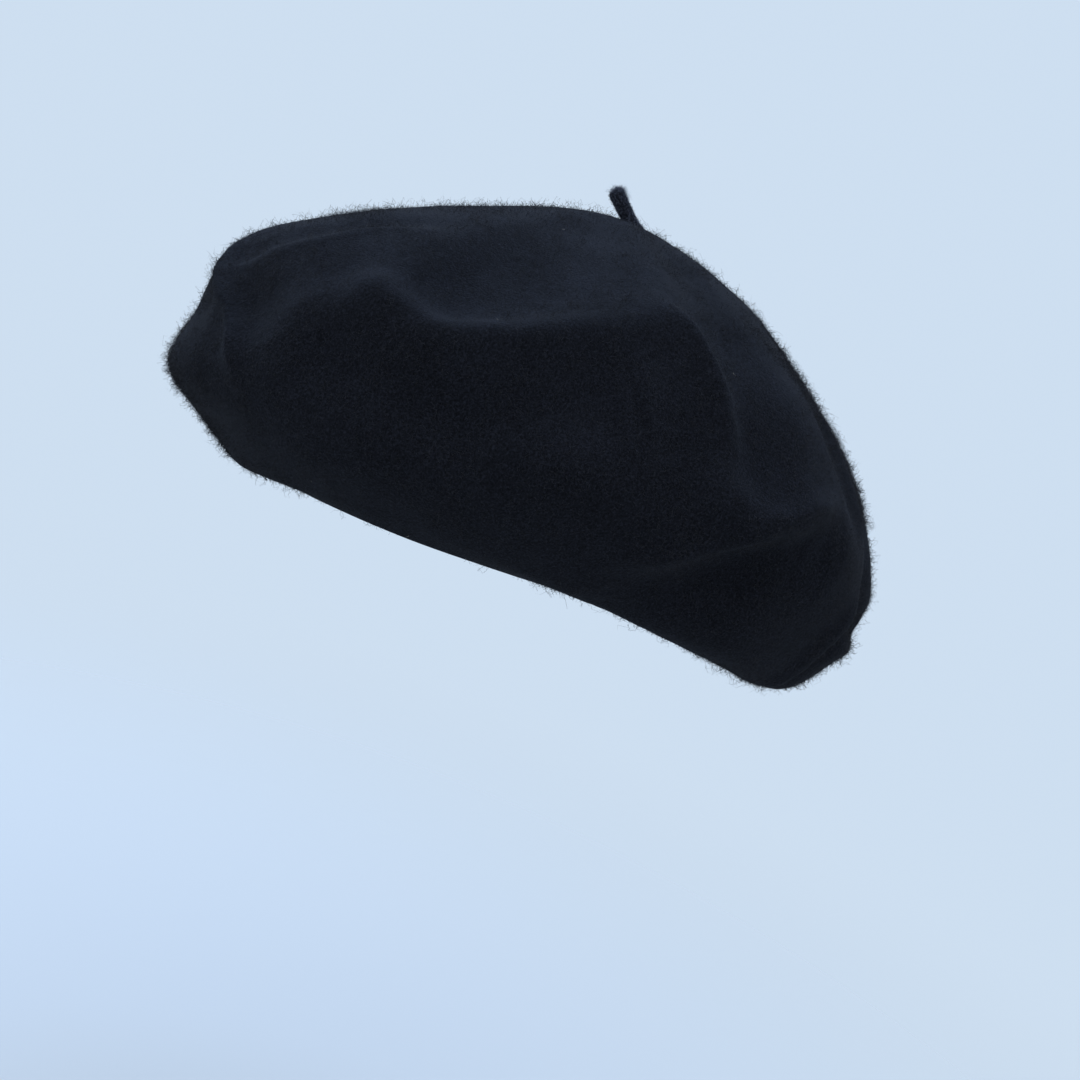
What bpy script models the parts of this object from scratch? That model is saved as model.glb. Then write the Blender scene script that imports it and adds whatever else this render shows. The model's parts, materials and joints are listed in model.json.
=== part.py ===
"""A black wool-felt beret, slouched as it is worn, with its stalk and the band inside its opening.

Metres, +Z up. The origin is the centre of the head opening, in the plane of its edge. The front
of the hat is -Y and the wearer's left is +X. An azimuth is counted in degrees from the front
towards the wearer's left, so 90 is +X and 180 is the back.
"""

import math

import bmesh
import bpy
from mathutils import Matrix, Vector

MM = 0.001

# Head opening: the ring that the felt's edge follows, an ellipse that lifts over the left temple.
OPENING_LENGTH = 195.0 * MM
OPENING_WIDTH = 163.0 * MM
EDGE_LIFT = 3.0 * MM
EDGE_LIFT_AZIMUTH = 45.0

# Felt: one seamless body, knitted and felted.
FELT_THICKNESS = 2.4 * MM
CROWN_HEIGHT = 120.5 * MM
FELT_STEPS_ROUND = 60
FELT_STEPS_UP = 17

# How the felt hangs, at each azimuth: (radius, height) in millimetres, from beside the opening's
# edge, out over the slouched rim and in over the crown.
FELT_SECTIONS = {
    -75: [(97, -5), (113, 5), (128, 23), (128, 42), (114, 63), (89, 84), (47, 107)],
    -30: [(98, -4), (113, 5), (130, 21), (128, 39), (123, 64), (103, 81), (56, 104)],
    -10: [(105, 0), (117, 11), (133, 25), (131, 42), (121, 67), (98, 85), (51, 106)],
    9: [(104, 5), (118, 17), (126, 36), (125, 53), (117, 68), (94, 85), (51, 106)],
    20: [(103, 8), (116, 21), (121, 38), (119, 54), (110, 65), (84, 83), (46, 106)],
    30: [(101, 10), (113, 24), (117, 40), (115, 56), (105, 69), (78, 86), (42, 107)],
    46: [(98, 8), (109, 24), (114, 40), (108, 60), (91, 82), (68, 95), (36, 110)],
    62: [(96, 5), (107, 20), (112, 38), (107, 61), (92, 88), (72, 100), (39, 112)],
    78: [(97, 1), (111, 14), (115, 30), (121, 45), (113, 56), (92, 82), (49, 107)],
    90: [(99, -3), (115, 3), (121, 26), (127, 46), (118, 60), (95, 85), (48, 109)],
    117: [(105, -12), (119, -8), (131, 18), (126, 41), (109, 66), (88, 84), (50, 109)],
    150: [(109, -14), (123, -8), (134, 18), (128, 37), (111, 60), (88, 83), (50, 109)],
    180: [(111, -13), (125, -5), (136, 16), (131, 34), (117, 58), (90, 82), (48, 108)],
    210: [(107, -11), (121, -4), (134, 17), (129, 36), (115, 60), (89, 82), (47, 106)],
    240: [(99, -8), (115, 0), (130, 20), (127, 38), (112, 62), (87, 83), (47, 106)],
}

# Stalk: a short felted stem near the crown's centre. It leans from its foot on the felt to its tip,
# and it flexes about the centre of its rounded root, just above the felt.
STALK_LENGTH = 13.1 * MM
STALK_RADIUS = 2.5 * MM
STALK_TIP_RADIUS = 2.75 * MM
STALK_FOOT_XY = (2.7 * MM, 2.6 * MM)
STALK_LEAN = 48.0
STALK_AZIMUTH = -38.0
STALK_BEND = 4.0
STALK_TIP_ROUNDING = 0.8
STALK_SIDES = 12

# What the stalk is tied off with, under the crown.
ANCHOR_RADIUS = 5.0 * MM
ANCHOR_HEIGHT = 2.4 * MM
ANCHOR_SIDES = 16

# Sweatband: a ribbon that stands inside the opening, with its ends under a short cover at the back.
BAND_INSET = 3.0 * MM
BAND_THICKNESS = 1.0 * MM
BAND_BOTTOM = 0.8 * MM
BAND_HEIGHT = 22.0 * MM
BAND_STEPS = 72
JOIN_WIDTH = 16.0 * MM
JOIN_THICKNESS = 0.9 * MM
JOIN_AZIMUTH = 180.0

# The thread that sews the ribbon to the felt, as one zigzag just above the ribbon's lower edge.
THREAD_RADIUS = 0.35 * MM
THREAD_HEIGHT = 4.0 * MM
THREAD_SWING = 1.2 * MM
THREAD_STITCHES = 90
THREAD_GAP_FROM = 174.0
THREAD_GAP_TO = 186.0

# Blank size label, sewn flat on the ribbon beside the join.
LABEL_WIDTH = 32.0 * MM
LABEL_HEIGHT = 14.5 * MM
LABEL_THICKNESS = 0.5 * MM
LABEL_AZIMUTH = 158.0
LABEL_BOTTOM = 6.4 * MM

GAP = 0.3 * MM


def clear_scene():
    for old in list(bpy.data.objects):
        bpy.data.objects.remove(old, do_unlink=True)


def make_material(name, colour, roughness, sheen):
    """A plain cloth colour: (red, green, blue), linear."""
    material = bpy.data.materials.new(name)
    material.use_nodes = True
    shader = material.node_tree.nodes["Principled BSDF"]
    shader.inputs["Base Color"].default_value = (*colour, 1.0)
    shader.inputs["Roughness"].default_value = roughness
    shader.inputs["Metallic"].default_value = 0.0
    shader.inputs["Sheen Weight"].default_value = sheen
    return material


def make_node(name, mesh_maker, material):
    """One object, from a function that fills a bmesh."""
    shape = bmesh.new()
    mesh_maker(shape)
    mesh = bpy.data.meshes.new(name)
    shape.to_mesh(mesh)
    shape.free()
    mesh.shade_smooth()
    mesh.materials.append(material)
    node = bpy.data.objects.new(name, mesh)
    bpy.context.scene.collection.objects.link(node)
    return node


def direction(azimuth):
    """The level unit vector that points outwards at an azimuth."""
    turn = math.radians(azimuth)
    return Vector((math.sin(turn), -math.cos(turn), 0.0))


def ring_radius(azimuth, inset=0.0):
    """The opening's radius, measured to the felt's edge and then moved in by the inset."""
    turn = math.radians(azimuth)
    along = math.cos(turn) / (OPENING_LENGTH / 2 - inset)
    across = math.sin(turn) / (OPENING_WIDTH / 2 - inset)
    return 1.0 / math.hypot(along, across)


def edge_height(azimuth):
    lift = max(0.0, math.cos(math.radians(azimuth - EDGE_LIFT_AZIMUTH)))
    return EDGE_LIFT * lift**2


def ring_point(azimuth, inset, height):
    """A point at this height above the felt's edge."""
    place = direction(azimuth) * ring_radius(azimuth, inset)
    place.z = edge_height(azimuth) + height
    return place


def hermite(start, end, start_slope, end_slope, t):
    return (
        start * (2 * t**3 - 3 * t**2 + 1)
        + start_slope * (t**3 - 2 * t**2 + t)
        + end * (3 * t**2 - 2 * t**3)
        + end_slope * (t**3 - t**2)
    )


def curve_at(knots, points, where):
    """A smooth curve through the points, with its end slopes taken from the first and last point."""
    spans = range(1, len(points) - 2)
    i = max((j for j in spans if knots[j] <= where), default=1)
    width = knots[i + 1] - knots[i]
    start_slope = (points[i + 1] - points[i - 1]) * (width / (knots[i + 1] - knots[i - 1]))
    end_slope = (points[i + 2] - points[i]) * (width / (knots[i + 2] - knots[i]))
    return hermite(points[i], points[i + 1], start_slope, end_slope, (where - knots[i]) / width)


def section_at(azimuth):
    """The felt's (radius, height) points between two of the sections, in metres."""
    turns = sorted(FELT_SECTIONS)
    azimuth = (azimuth - turns[0]) % 360 + turns[0]
    knots = [turns[-1] - 360] + turns + [turns[0] + 360, turns[1] + 360]
    sections = [FELT_SECTIONS[(turn + 75) % 360 - 75] for turn in knots]
    return [
        curve_at(knots, [Vector(section[i]) * MM for section in sections], azimuth)
        for i in range(len(sections[0]))
    ]


def profile_at(azimuth, steps):
    """Evenly spaced (radius, height) points, from the felt's edge to the crown's centre."""
    edge = Vector((ring_radius(azimuth), edge_height(azimuth)))
    section = section_at(azimuth)
    top = Vector((0.0, CROWN_HEIGHT))
    beyond = Vector((-section[-1].x, section[-1].y))
    before = edge + (edge - section[0]) * 0.5
    points = [before, edge, *section, top, beyond]
    knots = [0.0]
    along = [0.0]
    for a, b in zip(points, points[1:]):
        knots.append(knots[-1] + math.sqrt((b - a).length))
        along.append(along[-1] + (b - a).length)
    first, last = along[1], along[-2]
    profile = []
    for step in range(steps + 1):
        distance = first + (last - first) * step / steps
        i = max(j for j in range(1, len(points) - 2) if along[j] <= distance + 1e-9)
        share = (distance - along[i]) / (along[i + 1] - along[i])
        where = knots[i] + share * (knots[i + 1] - knots[i])
        profile.append(curve_at(knots, points, where))
    return profile


def felt_surface(shape):
    """The felt's outer face, open at the edge and closed by a fan at the crown's centre."""
    columns = []
    for i in range(FELT_STEPS_ROUND):
        azimuth = 360.0 * i / FELT_STEPS_ROUND
        outward = direction(azimuth)
        profile = profile_at(azimuth, FELT_STEPS_UP)[:-1]
        columns.append([shape.verts.new(outward * p.x + Vector((0, 0, p.y))) for p in profile])
    centre = shape.verts.new((0.0, 0.0, CROWN_HEIGHT))
    for here, after in zip(columns, columns[1:] + columns[:1]):
        for low in range(FELT_STEPS_UP - 1):
            shape.faces.new((here[low], after[low], after[low + 1], here[low + 1]))
        shape.faces.new((here[-1], after[-1], centre))


def lofted_rings(shape, rings):
    """A closed body through rings of points: the rings' ends are filled."""
    loops = [[shape.verts.new(point) for point in ring] for ring in rings]
    for low, high in zip(loops, loops[1:]):
        for i in range(len(low)):
            j = (i + 1) % len(low)
            shape.faces.new((low[i], low[j], high[j], high[i]))
    shape.faces.new(reversed(loops[0]))
    shape.faces.new(loops[-1])
    bmesh.ops.recalc_face_normals(shape, faces=shape.faces)


def band_ring(shape):
    """The ribbon, as a closed ring whose section is a thin upright rectangle."""
    inner = BAND_INSET + BAND_THICKNESS
    top = BAND_BOTTOM + BAND_HEIGHT
    corners = [(BAND_INSET, BAND_BOTTOM), (BAND_INSET, top), (inner, top), (inner, BAND_BOTTOM)]
    loops = []
    for i in range(BAND_STEPS):
        azimuth = 360.0 * i / BAND_STEPS
        loops.append([shape.verts.new(ring_point(azimuth, *corner)) for corner in corners])
    for here, after in zip(loops, loops[1:] + loops[:1]):
        for i in range(len(corners)):
            j = (i + 1) % len(corners)
            shape.faces.new((here[i], here[j], after[j], after[i]))
    bmesh.ops.recalc_face_normals(shape, faces=shape.faces)


def patch_on_band(azimuth, width, thickness, bottom, height, inset):
    """Fills a thin plate that follows the ribbon's inner face, centred on an azimuth."""

    def fill(shape):
        half_turn = math.degrees(width / 2 / ring_radius(azimuth))
        steps = 4
        rings = []
        for i in range(steps + 1):
            turn = azimuth + half_turn * (2 * i / steps - 1)
            rings.append([
                ring_point(turn, inset, bottom),
                ring_point(turn, inset, bottom + height),
                ring_point(turn, inset + thickness, bottom + height),
                ring_point(turn, inset + thickness, bottom),
            ])
        lofted_rings(shape, rings)

    return fill


def crown_height_at(place):
    """The height of the felt's outer face above a place near the crown's centre."""
    azimuth = math.degrees(math.atan2(place[0], -place[1]))
    radius = math.hypot(*place)
    profile = profile_at(azimuth, 200)
    return min(profile, key=lambda point: abs(point.x - radius)).y


def stalk_root():
    """The centre of the stalk's rounded root, on the line that leans from its foot."""
    rise = STALK_RADIUS + 2 * GAP
    foot = Vector((*STALK_FOOT_XY, crown_height_at(STALK_FOOT_XY)))
    along = direction(STALK_AZIMUTH) * math.tan(math.radians(STALK_LEAN)) + Vector((0, 0, 1))
    return foot + along * rise


def stalk_frames():
    """(centre, direction, radius) along the stalk, from below its root to its blunt tip."""
    lean_axis = direction(STALK_AZIMUTH).cross(Vector((0, 0, -1)))
    root = stalk_root()
    below = (STALK_RADIUS + 2 * GAP) / math.cos(math.radians(STALK_LEAN))
    straight = STALK_LENGTH - below - STALK_TIP_RADIUS * STALK_TIP_ROUNDING
    frames = []
    for turn in (-75, -50, -25):
        down = math.radians(turn)
        frames.append((math.sin(down) * STALK_RADIUS, math.cos(down) * STALK_RADIUS))
    for share in (0.0, 0.25, 0.5, 0.75, 1.0):
        frames.append((straight * share, STALK_RADIUS + (STALK_TIP_RADIUS - STALK_RADIUS) * share))
    for turn in (30, 55, 78):
        up = math.radians(turn)
        rounding = math.sin(up) * STALK_TIP_RADIUS * STALK_TIP_ROUNDING
        frames.append((straight + rounding, math.cos(up) * STALK_TIP_RADIUS))
    result = []
    for distance, radius in frames:
        bend = math.radians(STALK_LEAN - STALK_BEND * distance / STALK_LENGTH)
        mean = math.radians(STALK_LEAN - STALK_BEND * distance / STALK_LENGTH / 2)
        centre = root + Matrix.Rotation(mean, 3, lean_axis) @ Vector((0, 0, distance))
        result.append((centre, Matrix.Rotation(bend, 3, lean_axis), radius))
    return result


def stalk_body(shape):
    rings = []
    for centre, turn, radius in stalk_frames():
        ring = []
        for i in range(STALK_SIDES):
            round_it = 2 * math.pi * i / STALK_SIDES
            ring.append(centre + turn @ Vector((math.cos(round_it), math.sin(round_it), 0)) * radius)
        rings.append(ring)
    lofted_rings(shape, rings)


def anchor_body(shape):
    """A flattened knot under the crown, below the stalk."""
    top = crown_height_at(STALK_FOOT_XY) - FELT_THICKNESS - 3 * GAP
    centre = Vector((*STALK_FOOT_XY, top - ANCHOR_HEIGHT / 2))
    rings = []
    for turn in (-80, -45, 0, 45, 80):
        up = math.radians(turn)
        radius = ANCHOR_RADIUS * math.cos(up)
        level = centre + Vector((0, 0, math.sin(up) * ANCHOR_HEIGHT / 2))
        rings.append([
            level + direction(360.0 * i / ANCHOR_SIDES) * radius for i in range(ANCHOR_SIDES)
        ])
    lofted_rings(shape, rings)


def thread_curve(material):
    """The sewing thread: a zigzag from one side of the ribbon's join round to the other."""
    inset = BAND_INSET + BAND_THICKNESS + GAP + THREAD_RADIUS
    curve = bpy.data.curves.new("sweatband_stitching", "CURVE")
    curve.dimensions = "3D"
    curve.bevel_depth = THREAD_RADIUS
    curve.bevel_resolution = 0
    curve.use_fill_caps = True
    spline = curve.splines.new("POLY")
    count = 2 * THREAD_STITCHES + 1
    spline.points.add(count - 1)
    sweep = 360.0 - (THREAD_GAP_TO - THREAD_GAP_FROM)
    for i, point in enumerate(spline.points):
        azimuth = THREAD_GAP_TO + sweep * i / (count - 1)
        swing = THREAD_SWING * (-1) ** i
        point.co = (*ring_point(azimuth, inset, THREAD_HEIGHT + swing), 1.0)
    curve.materials.append(material)
    node = bpy.data.objects.new("sweatband_stitching", curve)
    bpy.context.scene.collection.objects.link(node)


def main():
    clear_scene()
    felt = make_material("felt", (0.013, 0.015, 0.022), 0.95, 0.3)
    ribbon = make_material("ribbon", (0.010, 0.010, 0.012), 0.7, 0.1)
    thread = make_material("thread", (0.016, 0.016, 0.019), 0.6, 0.0)
    satin = make_material("label", (0.62, 0.61, 0.58), 0.45, 0.0)

    felt_body = make_node("felt_body", felt_surface, felt)
    thickness = felt_body.modifiers.new("Thickness", "SOLIDIFY")
    thickness.thickness = FELT_THICKNESS
    thickness.offset = -1.0
    thickness.use_even_offset = True

    make_node("stalk", stalk_body, felt)
    make_node("stalk_anchor", anchor_body, thread)
    make_node("sweatband", band_ring, ribbon)
    thread_curve(thread)

    face = BAND_INSET + BAND_THICKNESS + GAP
    join = patch_on_band(JOIN_AZIMUTH, JOIN_WIDTH, JOIN_THICKNESS, BAND_BOTTOM, BAND_HEIGHT, face)
    make_node("sweatband_join", join, ribbon)
    tag = patch_on_band(
        LABEL_AZIMUTH, LABEL_WIDTH, LABEL_THICKNESS, LABEL_BOTTOM, LABEL_HEIGHT, face
    )
    make_node("size_label", tag, satin)


main()
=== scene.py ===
"""The looks of the beret: felt with its folds and nap, stalk, ribbon, stitches, label and knot.

The frame is the CAD's: metres, origin at the centre of the head opening, +Z up through the crown,
-Y the hat's front, +X the wearer's left. An azimuth is in degrees from the front towards +X.
"""

import json
import math

import bpy
import numpy as np
from mathutils import Matrix, Vector, noise


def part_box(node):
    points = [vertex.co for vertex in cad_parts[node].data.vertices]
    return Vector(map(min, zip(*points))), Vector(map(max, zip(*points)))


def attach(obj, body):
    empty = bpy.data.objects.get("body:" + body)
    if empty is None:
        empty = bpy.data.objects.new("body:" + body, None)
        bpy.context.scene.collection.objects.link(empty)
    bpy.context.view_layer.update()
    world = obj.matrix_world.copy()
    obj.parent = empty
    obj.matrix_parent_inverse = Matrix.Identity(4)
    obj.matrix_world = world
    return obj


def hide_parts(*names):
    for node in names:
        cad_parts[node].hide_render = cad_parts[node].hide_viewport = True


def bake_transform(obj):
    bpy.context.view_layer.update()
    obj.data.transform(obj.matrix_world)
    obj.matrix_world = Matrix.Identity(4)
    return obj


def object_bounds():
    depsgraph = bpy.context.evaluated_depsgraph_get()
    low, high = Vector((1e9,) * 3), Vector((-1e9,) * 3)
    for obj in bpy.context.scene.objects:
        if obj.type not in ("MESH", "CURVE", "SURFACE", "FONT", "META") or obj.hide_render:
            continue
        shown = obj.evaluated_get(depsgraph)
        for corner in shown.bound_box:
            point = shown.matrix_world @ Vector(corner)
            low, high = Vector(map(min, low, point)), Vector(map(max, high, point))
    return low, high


MM = 0.001

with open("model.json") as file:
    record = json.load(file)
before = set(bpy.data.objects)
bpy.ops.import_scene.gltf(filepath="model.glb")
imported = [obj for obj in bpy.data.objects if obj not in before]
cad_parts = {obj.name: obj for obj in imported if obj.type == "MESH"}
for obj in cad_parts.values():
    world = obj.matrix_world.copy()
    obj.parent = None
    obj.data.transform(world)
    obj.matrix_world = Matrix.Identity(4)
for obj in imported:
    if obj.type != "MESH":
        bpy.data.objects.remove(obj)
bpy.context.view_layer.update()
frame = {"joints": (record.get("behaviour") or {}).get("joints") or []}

# ---- The felt's form, as in the CAD ----------------------------------------------------------

OPENING_LENGTH = 195.0 * MM
OPENING_WIDTH = 163.0 * MM
EDGE_LIFT = 3.0 * MM
EDGE_LIFT_AZIMUTH = 45.0
FELT_THICKNESS = 2.4 * MM
CROWN_HEIGHT = 120.5 * MM

# (radius, height) in millimetres at each azimuth, from beside the edge to near the crown's centre.
FELT_SECTIONS = {
    -75: [(97, -5), (113, 5), (128, 23), (128, 42), (114, 63), (89, 84), (47, 107)],
    -30: [(98, -4), (113, 5), (130, 21), (128, 39), (123, 64), (103, 81), (56, 104)],
    -10: [(105, 0), (117, 11), (133, 25), (131, 42), (121, 67), (98, 85), (51, 106)],
    9: [(104, 5), (118, 17), (126, 36), (125, 53), (117, 68), (94, 85), (51, 106)],
    20: [(103, 8), (116, 21), (121, 38), (119, 54), (110, 65), (84, 83), (46, 106)],
    30: [(101, 10), (113, 24), (117, 40), (115, 56), (105, 69), (78, 86), (42, 107)],
    46: [(98, 8), (109, 24), (114, 40), (108, 60), (91, 82), (68, 95), (36, 110)],
    62: [(96, 5), (107, 20), (112, 38), (107, 61), (92, 88), (72, 100), (39, 112)],
    78: [(97, 1), (111, 14), (115, 30), (121, 45), (113, 56), (92, 82), (49, 107)],
    90: [(99, -3), (115, 3), (121, 26), (127, 46), (118, 60), (95, 85), (48, 109)],
    117: [(105, -12), (119, -8), (131, 18), (126, 41), (109, 66), (88, 84), (50, 109)],
    150: [(109, -14), (123, -8), (134, 18), (128, 37), (111, 60), (88, 83), (50, 109)],
    180: [(111, -13), (125, -5), (136, 16), (131, 34), (117, 58), (90, 82), (48, 108)],
    210: [(107, -11), (121, -4), (134, 17), (129, 36), (115, 60), (89, 82), (47, 106)],
    240: [(99, -8), (115, 0), (130, 20), (127, 38), (112, 62), (87, 83), (47, 106)],
}

FELT_COLUMNS = 440
FELT_ROWS = 150
LINING_STEP = 4
RIM_ROWS = 8
EDGE_ROWS = 10

# The felt's unevenness: how many times a metre it repeats, and its height in mm.
SWELL_SCALE, SWELL_HEIGHT = 38.0, 0.40
LUMP_SCALE, LUMP_HEIGHT = 150.0, 0.10
GRAIN_SCALE, GRAIN_HEIGHT = 420.0, 0.07
LUMP_SHIFT = Vector((7.0, 3.0, 1.0))
GRAIN_SHIFT = Vector((1.0, 9.0, 4.0))

# How a fold's line is sampled, how far the fold reaches from it, and how softly it ends.
FOLD_SAMPLES = 60
FOLD_REACH = 80 * MM
FOLD_FADE = 0.28
FOLD_END = 12 * MM

# Soft folds. Each is a line of (azimuth, share of the way from edge to crown), then the crest's
# (height, width) and, on the line's left and right, a hollow's (depth, width, distance), in mm. A
# negative height is a groove, and a negative depth is a swell.
FOLDS = {
    "front_rim": {
        "line": [(-23, 0.325), (-17, 0.36), (-11, 0.40), (-6, 0.455), (-3, 0.52), (3, 0.575), (12, 0.60)],
        "crest": (0.8, 3.0), "left": (1.8, 6.0, 8.0), "right": (0.0, 7.0, 10.0),
    },
    "front_flat": {
        "line": [(-13, 0.29), (-5, 0.33), (-1, 0.365), (2, 0.39), (5, 0.42), (9, 0.435), (14, 0.43)],
        "crest": (-3.8, 15.0), "left": (0.0, 8.0, 12.0), "right": (0.0, 8.0, 12.0),
    },
    "crown_edge": {
        "line": [(3, 0.425), (9, 0.415), (15, 0.40), (22, 0.378), (27, 0.377), (33, 0.403), (39, 0.435),
                 (45, 0.475), (51, 0.505), (57, 0.52)],
        "crest": (3.4, 6.5), "left": (1.6, 12.0, 18.0), "right": (6.0, 13.0, 24.0),
    },
    "crown_side": {
        "line": [(57, 0.58), (61, 0.565), (65, 0.545), (68, 0.525), (70.5, 0.505), (72.5, 0.472),
                 (73.3, 0.433), (74.3, 0.40), (76, 0.37)],
        "crest": (3.8, 4.2), "left": (0.6, 10.0, 15.0), "right": (3.6, 11.0, 14.0),
    },
    "back_rim": {
        "line": [(60, 0.155), (66, 0.18), (70.5, 0.213), (76, 0.265), (79, 0.297), (84, 0.35), (92, 0.40),
                 (98, 0.42)],
        "crest": (4.2, 4.5), "left": (-1.4, 8.0, 8.0), "right": (7.0, 11.0, 15.0),
    },
    "front_side": {
        "line": [(-28, 0.425), (-23, 0.39), (-16.5, 0.345), (-9.5, 0.315), (-5, 0.285), (-1.5, 0.245),
                 (0.5, 0.215), (2, 0.18)],
        "crest": (3.6, 3.2), "left": (1.8, 8.0, 10.0), "right": (1.8, 7.0, 10.0),
    },
    "back_crest": {
        "line": [(108, 0.62), (107.5, 0.54), (107, 0.48), (107, 0.42), (107, 0.36)],
        "crest": (1.0, 4.5), "left": (0.4, 8.0, 12.0), "right": (1.6, 6.0, 9.0),
    },
    "back_tuck": {
        "line": [(104, 0.10), (104.5, 0.16), (106, 0.225), (107.5, 0.265), (109.5, 0.30), (112, 0.34)],
        "crest": (2.4, 4.0), "left": (0.4, 7.0, 10.0), "right": (4.2, 5.5, 8.0),
    },
    "back_notch": {
        "line": [(108, 0.287), (113, 0.284), (118, 0.28), (124, 0.276), (131, 0.272)],
        "crest": (-5.0, 5.4), "left": (0.0, 6.0, 9.0), "right": (-1.4, 5.0, 9.0),
    },
    "back_dent": {
        "line": [(113, 0.46), (114, 0.40), (114, 0.35), (114, 0.30), (114, 0.25)],
        "crest": (-4.0, 8.0), "left": (0.0, 8.0, 12.0), "right": (0.0, 8.0, 12.0),
    },
}


def azimuth_vectors(azimuths):
    """Level unit vectors that point outwards at these azimuths, as an (n, 3) array."""
    turn = np.radians(azimuths)
    return np.stack([np.sin(turn), -np.cos(turn), np.zeros_like(turn)], -1)


def ring_radius(azimuths, inset=0.0):
    turn = np.radians(azimuths)
    along = np.cos(turn) / (OPENING_LENGTH / 2 - inset)
    across = np.sin(turn) / (OPENING_WIDTH / 2 - inset)
    return 1.0 / np.hypot(along, across)


def edge_height(azimuths):
    lift = np.clip(np.cos(np.radians(azimuths - EDGE_LIFT_AZIMUTH)), 0.0, None)
    return EDGE_LIFT * lift**2


def hermite(start, end, start_slope, end_slope, t):
    return (
        start * (2 * t**3 - 3 * t**2 + 1)
        + start_slope * (t**3 - 2 * t**2 + t)
        + end * (3 * t**2 - 2 * t**3)
        + end_slope * (t**3 - t**2)
    )


def smooth_curve(knots, points, where):
    """Values at `where` of a smooth curve through the points. The end points only set its slopes."""
    i = np.clip(np.searchsorted(knots, where, side="right") - 1, 1, len(knots) - 3)
    span = (knots[i + 1] - knots[i])[:, None]
    start_slope = (points[i + 1] - points[i - 1]) * (span / (knots[i + 1] - knots[i - 1])[:, None])
    end_slope = (points[i + 2] - points[i]) * (span / (knots[i + 2] - knots[i])[:, None])
    t = ((where - knots[i]) / span[:, 0])[:, None]
    return hermite(points[i], points[i + 1], start_slope, end_slope, t)


def felt_sections(azimuths):
    """The felt's section points at each azimuth, as (azimuth, point, radius or height)."""
    turns = sorted(FELT_SECTIONS)
    knots = np.array([turns[-1] - 360.0] + turns + [turns[0] + 360.0, turns[1] + 360.0])
    order = [turns[-1]] + turns + turns[:2]
    table = np.array([np.ravel(FELT_SECTIONS[turn]) for turn in order]) * MM
    wrapped = (azimuths - turns[0]) % 360.0 + turns[0]
    return smooth_curve(knots, table, wrapped).reshape(len(azimuths), -1, 2)


def felt_surface(azimuths, rows):
    """The felt's outer face before its folds: (azimuth, row, xyz), from the edge to the centre."""
    sections = felt_sections(azimuths)
    surface = np.empty((len(azimuths), rows + 1, 3))
    for column, azimuth in enumerate(azimuths):
        section = sections[column]
        edge = np.array([ring_radius(azimuth), edge_height(azimuth)])
        before = edge + (edge - section[0]) * 0.5
        beyond = section[-1] * (-1.0, 1.0)
        points = np.vstack([before, edge, section, (0.0, CROWN_HEIGHT), beyond])
        chords = np.linalg.norm(np.diff(points, axis=0), axis=1)
        knots = np.concatenate([[0.0], np.cumsum(np.sqrt(chords))])
        along = np.concatenate([[0.0], np.cumsum(chords)])
        steps = np.linspace(along[1], along[-2], rows + 1)
        profile = smooth_curve(knots, points, np.interp(steps, along, knots))
        surface[column] = azimuth_vectors(azimuth) * profile[:, :1]
        surface[column, :, 2] = profile[:, 1]
    return surface


def surface_normals(surface):
    """Outward unit normals of a surface whose columns close on themselves."""
    round_it = np.roll(surface, -1, 0) - np.roll(surface, 1, 0)
    up_it = np.gradient(surface, axis=1)
    normals = np.cross(round_it, up_it)
    normals[:, -1] = (0.0, 0.0, 1.0)
    return normals / np.linalg.norm(normals, axis=-1, keepdims=True)


def bell(distance, width):
    return np.exp(-((distance / width) ** 2))


def fold_offsets(surface, normals, fold):
    """How far, in metres, one fold moves each point of the surface along its normal."""
    line = np.array(fold["line"], float)
    knots = np.arange(len(line) + 2.0)
    points = np.vstack([2 * line[0] - line[1], line, 2 * line[-1] - line[-2]])
    samples = smooth_curve(knots, points, np.linspace(1, len(line), FOLD_SAMPLES))
    columns = np.round(samples[:, 0] / 360.0 * len(surface)).astype(int) % len(surface)
    rows = samples[:, 1] * (surface.shape[1] - 1)
    low = np.floor(rows).astype(int)
    share = (rows - low)[:, None]
    crest = surface[columns, low] * (1 - share) + surface[columns, low + 1] * share
    crest[1:-1] = (crest[:-2] + 2 * crest[1:-1] + crest[2:]) / 4
    tangents = np.gradient(crest, axis=0)
    tangents /= np.linalg.norm(tangents, axis=1, keepdims=True)
    run = np.concatenate([[0.0], np.cumsum(np.linalg.norm(np.diff(crest, axis=0), axis=1))])

    box_low, box_high = crest.min(0) - FOLD_REACH, crest.max(0) + FOLD_REACH
    near = np.all((surface > box_low) & (surface < box_high), axis=-1)
    points, out = surface[near], normals[near]
    gaps = np.linalg.norm(points[:, None] - crest[None], axis=-1)
    nearest = gaps.argmin(1)
    apart = points - crest[nearest]
    leftward = np.einsum("ij,ij->i", np.cross(out, tangents[nearest]), apart)
    over_end = np.einsum("ij,ij->i", tangents[nearest], apart)
    ended = np.where((nearest == 0) | (nearest == len(crest) - 1), np.abs(over_end), 0.0)
    side = np.sign(leftward) * np.sqrt(np.maximum(gaps.min(1) ** 2 - ended**2, 0.0))
    from_end = np.minimum(run[nearest], run[-1] - run[nearest])
    fade_in = np.clip(from_end / (run[-1] * FOLD_FADE), 0, 1)
    strength = fade_in * fade_in * (3 - 2 * fade_in) * bell(ended, FOLD_END)

    height, width = np.array(fold["crest"]) * MM
    moved = height * bell(side, width)
    for sign, name in ((1.0, "left"), (-1.0, "right")):
        depth, width, distance = np.array(fold[name]) * MM
        moved -= depth * bell(side - sign * distance, width)
    offsets = np.zeros(surface.shape[:2])
    offsets[near] = moved * strength
    return offsets


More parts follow.
